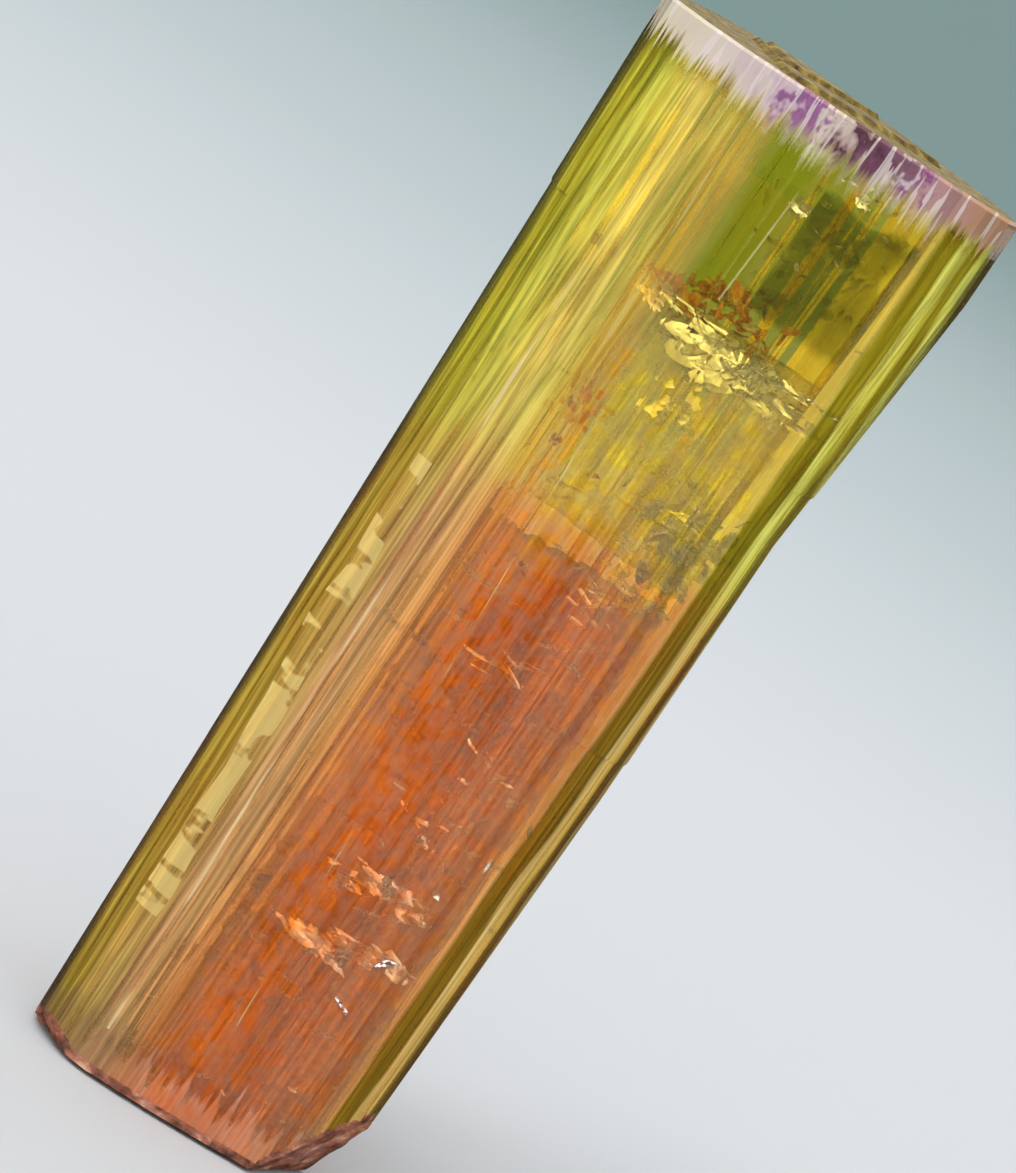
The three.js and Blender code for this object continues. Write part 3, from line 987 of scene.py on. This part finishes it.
cracks("cross_cracks", CROSS_CRACKS, ((1.0, 0.72, 0.62), (1.0, 0.97, 0.94), (1.0, 0.90, 0.84)), 40)
cracks("golden_cracks", GOLDEN_CRACKS, ((1.0, 0.80, 0.26), (1.0, 0.97, 0.66), (1.0, 0.88, 0.40)))


TUBE_COUNT = 40
TUBE_SEED = 5
TUBE_REACH = 5.6
TUBE_TOP = 48.5


def needles():
    """Growth tubes along the axis."""
    draw = random.Random(TUBE_SEED)
    parts = []
    for _ in range(TUBE_COUNT):
        middle = unit(draw.uniform(0, 360)) * (math.sqrt(draw.random()) * TUBE_REACH)
        low = draw.uniform(1, 44)
        high = min(low + draw.uniform(1.5, 9), TUBE_TOP)
        thin = draw.uniform(0.01, 0.02)
        ring = [middle + thin * unit(a) for a in (0, 90, 180, 270)]
        points = [(*at, z) for z in (low, high) for at in ring]
        faces = [(0, 1, 5, 4), (1, 2, 6, 5), (2, 3, 7, 6), (3, 0, 4, 7), (3, 2, 1, 0), (4, 5, 6, 7)]
        parts.append((points, faces))
    return join(parts)


piece(mesh_object("growth_tubes", *needles(), mottled(
    "growth_tubes", ((1.0, 0.9, 0.7), (0.9, 0.7, 0.5)), (0.25, 0.8), (1, 1, 0.4), 0.4)))


def flakes(name, rows, seed, colours, alpha, scale, roughness, smooth=False, thick=0.04, **cover):
    """Small curved plates round the places in rows: place, spread, how many, size."""
    def flake(draw, place, size):
        normal = (draw.uniform(-0.7, 0.7), draw.uniform(-1, -0.3), draw.uniform(0.1, 1))
        big = size * draw.uniform(0.5, 1.4)
        return plate(place, normal, (big, big * draw.uniform(0.2, 0.7)), thick, big * 0.8,
                     draw.uniform(0, 99), 4, 14, 0.6, draw.uniform(0, 3))

    material = mottled(name, colours, alpha, scale, roughness, **cover)
    piece(mesh_object(name, *scatter(rows, seed, flake), material, smooth=smooth))


flakes("feathers_and_painted_glints", (
    ((3.9, -3.4, 28.9), (0.8, 0.5, 0.9), 26, 0.42),
    ((2.8, -3.4, 31.6), (0.8, 0.5, 0.7), 22, 0.4),
    ((4.4, -3.2, 31.8), (0.9, 0.5, 0.9), 22, 0.5),
    ((3.4, -3.8, 16.5), (1.2, 0.4, 2.6), 26, 0.3),
    ((2.4, -4.2, 10.2), (1.0, 0.2, 0.25), 16, 0.26),
    ((2.3, -4.2, 13.0), (1.0, 0.2, 0.3), 18, 0.26),
    ((3.0, -3.8, 45.0), (1.4, 0.4, 1.6), 14, 0.24),
    # From here on the white flakes are painted glints: bright flakes set just inside the faces where
    # ledges catch the light.
    ((-6.0, -1.6, 43.0), (0.15, 0.1, 0.6), 7, 0.26),
    ((-5.6, -1.6, 37.7), (0.1, 0.1, 0.15), 4, 0.26),
    ((0.9, -4.8, 45.8), (0.12, 0.1, 0.12), 4, 0.3),
    ((3.3, -5.0, 49.0), (0.3, 0.1, 0.12), 8, 0.26),
    ((1.4, -5.0, 48.9), (0.5, 0.1, 0.15), 8, 0.18),
), 21, ((1.0, 0.95, 0.86), (1.0, 0.9, 0.66), (1.0, 0.86, 0.75)), (0.2, 0.95), (2, 2, 2), 0.3, True)
flakes("golden_flakes", (
    ((1.3, -4.0, 38.9), (1.0, 0.35, 0.5), 46, 0.5),
    ((2.8, -3.9, 38.8), (1.6, 0.35, 0.4), 26, 0.4),
    ((1.3, -3.8, 36.4), (0.4, 0.4, 0.8), 18, 0.4),
), 22, ((1.0, 0.78, 0.16), (1.0, 0.93, 0.50), (1.0, 0.70, 0.12)), (0.4, 1.0), (2.5, 2.5, 2.5), 0.3, True)
flakes("iron_stains", (
    ((0.8, -3.4, 40.9), (1.1, 0.6, 0.45), 46, 0.42),
    ((-1.2, -3.4, 40.2), (1.2, 0.6, 0.4), 18, 0.4),
    ((-1.8, -3.6, 34.3), (0.4, 0.4, 0.5), 16, 0.34),
    ((-5.4, -3.0, 34.2), (0.2, 0.2, 0.9), 12, 0.22),
    ((-0.4, -2.6, 22.0), (1.6, 0.9, 1.6), 30, 0.5),
    ((-1.6, -2.6, 8.5), (1.0, 0.9, 2.6), 34, 0.5),
), 33, ((0.78, 0.28, 0.01), (1.0, 0.46, 0.02), (1.0, 0.64, 0.10)), (0.3, 1.0), (1.5, 1.5, 1.5), 0.6,
       edge=(0.34, 0.54))
flakes("red_specks", (
    ((-2.0, -4.6, 32.5), (0.08, 0.1, 0.16), 5, 0.22),
    ((0.0, -4.4, 32.2), (0.16, 0.1, 0.1), 4, 0.2),
    ((-2.1, -4.4, 22.5), (0.06, 0.1, 0.06), 4, 0.14),
    ((-0.2, -4.0, 12.8), (0.3, 0.2, 0.3), 6, 0.2),
    ((-0.5, -4.0, 27.6), (0.3, 0.2, 0.2), 4, 0.14),
), 44, ((0.45, 0.06, 0.01), (0.6, 0.12, 0.02)), (0.8, 1.0), (2, 2, 2), 0.5, thick=0.1)

# How much nearer the front face lies for each millimetre to the left.
FRONT_LEAN = 0.21
# The way the glints face, so that they mirror the light from the front, and its spread.
GLINT_NORMAL = (-0.09, -1.0, 0.17)
GLINT_SPREAD = 0.07


def glint(draw, place, wide, tall):
    """A thin flake that mirrors the light from the front."""
    place[1] += FRONT_LEAN * place[0]
    normal = (GLINT_NORMAL[0] + draw.gauss(0, GLINT_SPREAD), GLINT_NORMAL[1],
              GLINT_NORMAL[2] + draw.gauss(0, GLINT_SPREAD))
    size = draw.uniform(0.4, 1.4)
    return plate(place, normal, (tall * size, wide * size), 0.03, 0.15, draw.uniform(0, 99),
                 4, 14, 0.8, draw.uniform(-0.5, 0.1))


def glints(name, rows, seed, colour):
    n = Nodes(name)
    n.surface({"Base Color": (*colour, 1), "Metallic": 1.0, "Roughness": 0.35})
    piece(mesh_object(name, *scatter(rows, seed, glint), n.material))


glints("pink_glints", (
    ((1.2, -4.8, 9.7), (0.5, 0.1, 0.14), 20, 0.7, 0.22),
    ((3.0, -4.8, 10.3), (0.8, 0.1, 0.14), 20, 0.7, 0.2),
    ((2.2, -4.8, 13.0), (1.0, 0.1, 0.25), 34, 0.5, 0.18),
    ((1.4, -4.8, 23.7), (0.9, 0.1, 0.3), 9, 0.5, 0.08),
    ((3.4, -4.4, 28.0), (0.8, 0.2, 0.8), 14, 0.36, 0.09),
    ((2.8, -4.6, 17.0), (1.1, 0.2, 2.6), 20, 0.3, 0.08),
    ((4.0, -4.2, 3.0), (1.0, 0.3, 1.0), 7, 0.16, 0.08),
    ((2.8, -5.2, 47.6), (0.9, 0.1, 0.25), 9, 0.22, 0.12),
    ((0.9, -5.0, 45.8), (0.15, 0.1, 0.1), 4, 0.3, 0.15),
), 91, (1.0, 0.95, 0.92))
glints("gold_glints", (
    ((1.3, -4.8, 38.9), (0.7, 0.1, 0.4), 30, 0.6, 0.34),
    ((3.4, -4.7, 38.6), (1.4, 0.1, 0.4), 26, 0.7, 0.14),
    ((1.2, -4.7, 36.6), (0.4, 0.1, 0.8), 12, 0.26, 0.26),
    ((-0.8, -4.8, 40.0), (0.9, 0.1, 0.25), 9, 0.5, 0.1),
    ((3.6, -4.5, 32.2), (1.0, 0.2, 1.0), 14, 0.3, 0.08),
), 92, (1.0, 0.90, 0.50))

flakes("olive_cloud", (
    ((4.3, -2.6, 32.0), (0.85, 0.6, 0.75), 44, 0.6),
    ((4.9, -2.4, 30.4), (0.4, 0.6, 0.9), 12, 0.5),
), 55, ((0.44, 0.36, 0.10), (0.60, 0.48, 0.18), (0.32, 0.26, 0.08)), (0.2, 0.8), (1.2, 1.2, 1.2), 0.8)
flakes("dark_green_cloud", (
    ((3.1, -3.2, 44.6), (1.5, 0.5, 1.5), 44, 0.6),
    ((1.5, -3.2, 42.6), (0.6, 0.5, 0.8), 10, 0.5),
), 66, ((0.42, 0.42, 0.02), (0.66, 0.64, 0.06), (0.30, 0.30, 0.02)), (0.0, 0.4), (1.0, 1.0, 0.7), 0.8)

# A wide pale floor. It stays out of mirror reflections, so the crystal's faces keep their colour.
FLOOR = -0.0002
FLOOR_RADIUS = 6.0
# The floor's colours change over this many metres behind the crystal.
FLOOR_FADE = 1.6


def make_floor():
    n = Nodes("pale_floor")
    where = n.add("SeparateXYZ", {0: n.add("TexCoord").outputs["Object"]})
    share = n.math("DIVIDE", where.outputs["Y"], FLOOR_FADE)
    colour = n.ramp(share, ((0.0, (0.56, 0.57, 0.58)), (0.10, (0.55, 0.565, 0.58)),
                            (0.25, (0.40, 0.45, 0.46)), (0.7, (0.19, 0.27, 0.26))))
    n.surface({"Base Color": colour, "Roughness": 1.0, "Specular IOR Level": 0.0})
    ring = [(*(FLOOR_RADIUS * unit(turn)), FLOOR) for turn in np.linspace(0, 360, 96, endpoint=False)]
    mesh = bpy.data.meshes.new("floor")
    mesh.from_pydata(ring, [], [tuple(range(len(ring)))])
    mesh.materials.append(n.material)
    obj = bpy.data.objects.new("floor", mesh)
    bpy.context.scene.collection.objects.link(obj)
    obj.visible_glossy = False


make_floor()


def area_light(name, place, aim, size, watts):
    data = bpy.data.lights.new(name, "AREA")
    data.shape = "RECTANGLE"
    data.size, data.size_y = size
    data.energy = watts
    obj = bpy.data.objects.new(name, data)
    obj.location = place
    obj.rotation_euler = (Vector(aim) - Vector(place)).to_track_quat("-Z", "Y").to_euler()
    bpy.context.scene.collection.objects.link(obj)


area_light("behind", (0.1, 0.5, 0.5), (0, 0.0, 0.03), (0.3, 0.15), 0.5)
area_light("key", (-0.35, -0.45, 0.6), (0, 0, 0.025), (0.15, 0.15), 1.2)


class WorldNodes(Nodes):
    """The same for the world's nodes."""

    def __init__(self, world):
        world.use_nodes = True
        self.tree = world.node_tree
        self.tree.nodes.clear()
        self.output = self.tree.nodes.new("ShaderNodeOutputWorld")


# The middle of the wide bright window in the dome.
WINDOW_WAY = Vector((-0.35, -0.7, 0.65)).normalized()


def make_world():
    """A soft even dome. Its underside is dim, and only mirror reflections see that."""
    world = bpy.data.worlds.new("studio")
    bpy.context.scene.world = world
    n = WorldNodes(world)
    way = n.add("TexCoord").outputs["Generated"]
    dome = n.remap(n.add("SeparateXYZ", {0: way}).outputs["Z"], -0.04, 0.06, 0.04, 0.78)
    near = n.add("VectorMath", {0: way, 1: WINDOW_WAY}, operation="DOT_PRODUCT").outputs["Value"]
    window = n.remap(near, 0.70, 0.88, 0.0, 1.7)
    strength = n.math("ADD", dome, window)
    n.surface({"Color": (0.97, 0.985, 1.0, 1), "Strength": strength}, "Background")


make_world()

# The camera: the photo's view of the leaning crystal, as a roll about the view's axis.
TARGET = Vector((-0.0005, 0, 0.0255))
DISTANCE = 0.245
ELEVATION = math.radians(8.3)
ROLL = math.radians(33.87)


def make_camera():
    data = bpy.data.cameras.new("camera")
    data.lens = 180
    data.sensor_width = 36
    data.clip_start = 0.01
    camera = bpy.data.objects.new("camera", data)
    bpy.context.scene.collection.objects.link(camera)
    back = Vector((0, -math.cos(ELEVATION), math.sin(ELEVATION)))
    level = Vector((1, 0, 0))
    up = back.cross(level)
    right = math.cos(ROLL) * level + math.sin(ROLL) * up
    above = -math.sin(ROLL) * level + math.cos(ROLL) * up
    turn = Matrix((right, above, back)).transposed().to_4x4()
    camera.matrix_world = Matrix.Translation(TARGET + back * DISTANCE) @ turn
    bpy.context.scene.camera = camera


make_camera()

scene = bpy.context.scene
scene.view_settings.view_transform = "Standard"
scene.cycles.max_bounces = 24
scene.cycles.transmission_bounces = 24
scene.cycles.glossy_bounces = 16
scene.cycles.diffuse_bounces = 2
scene.cycles.transparent_max_bounces = 96
scene.cycles.adaptive_threshold = 0.2
scene.cycles.use_denoising = True
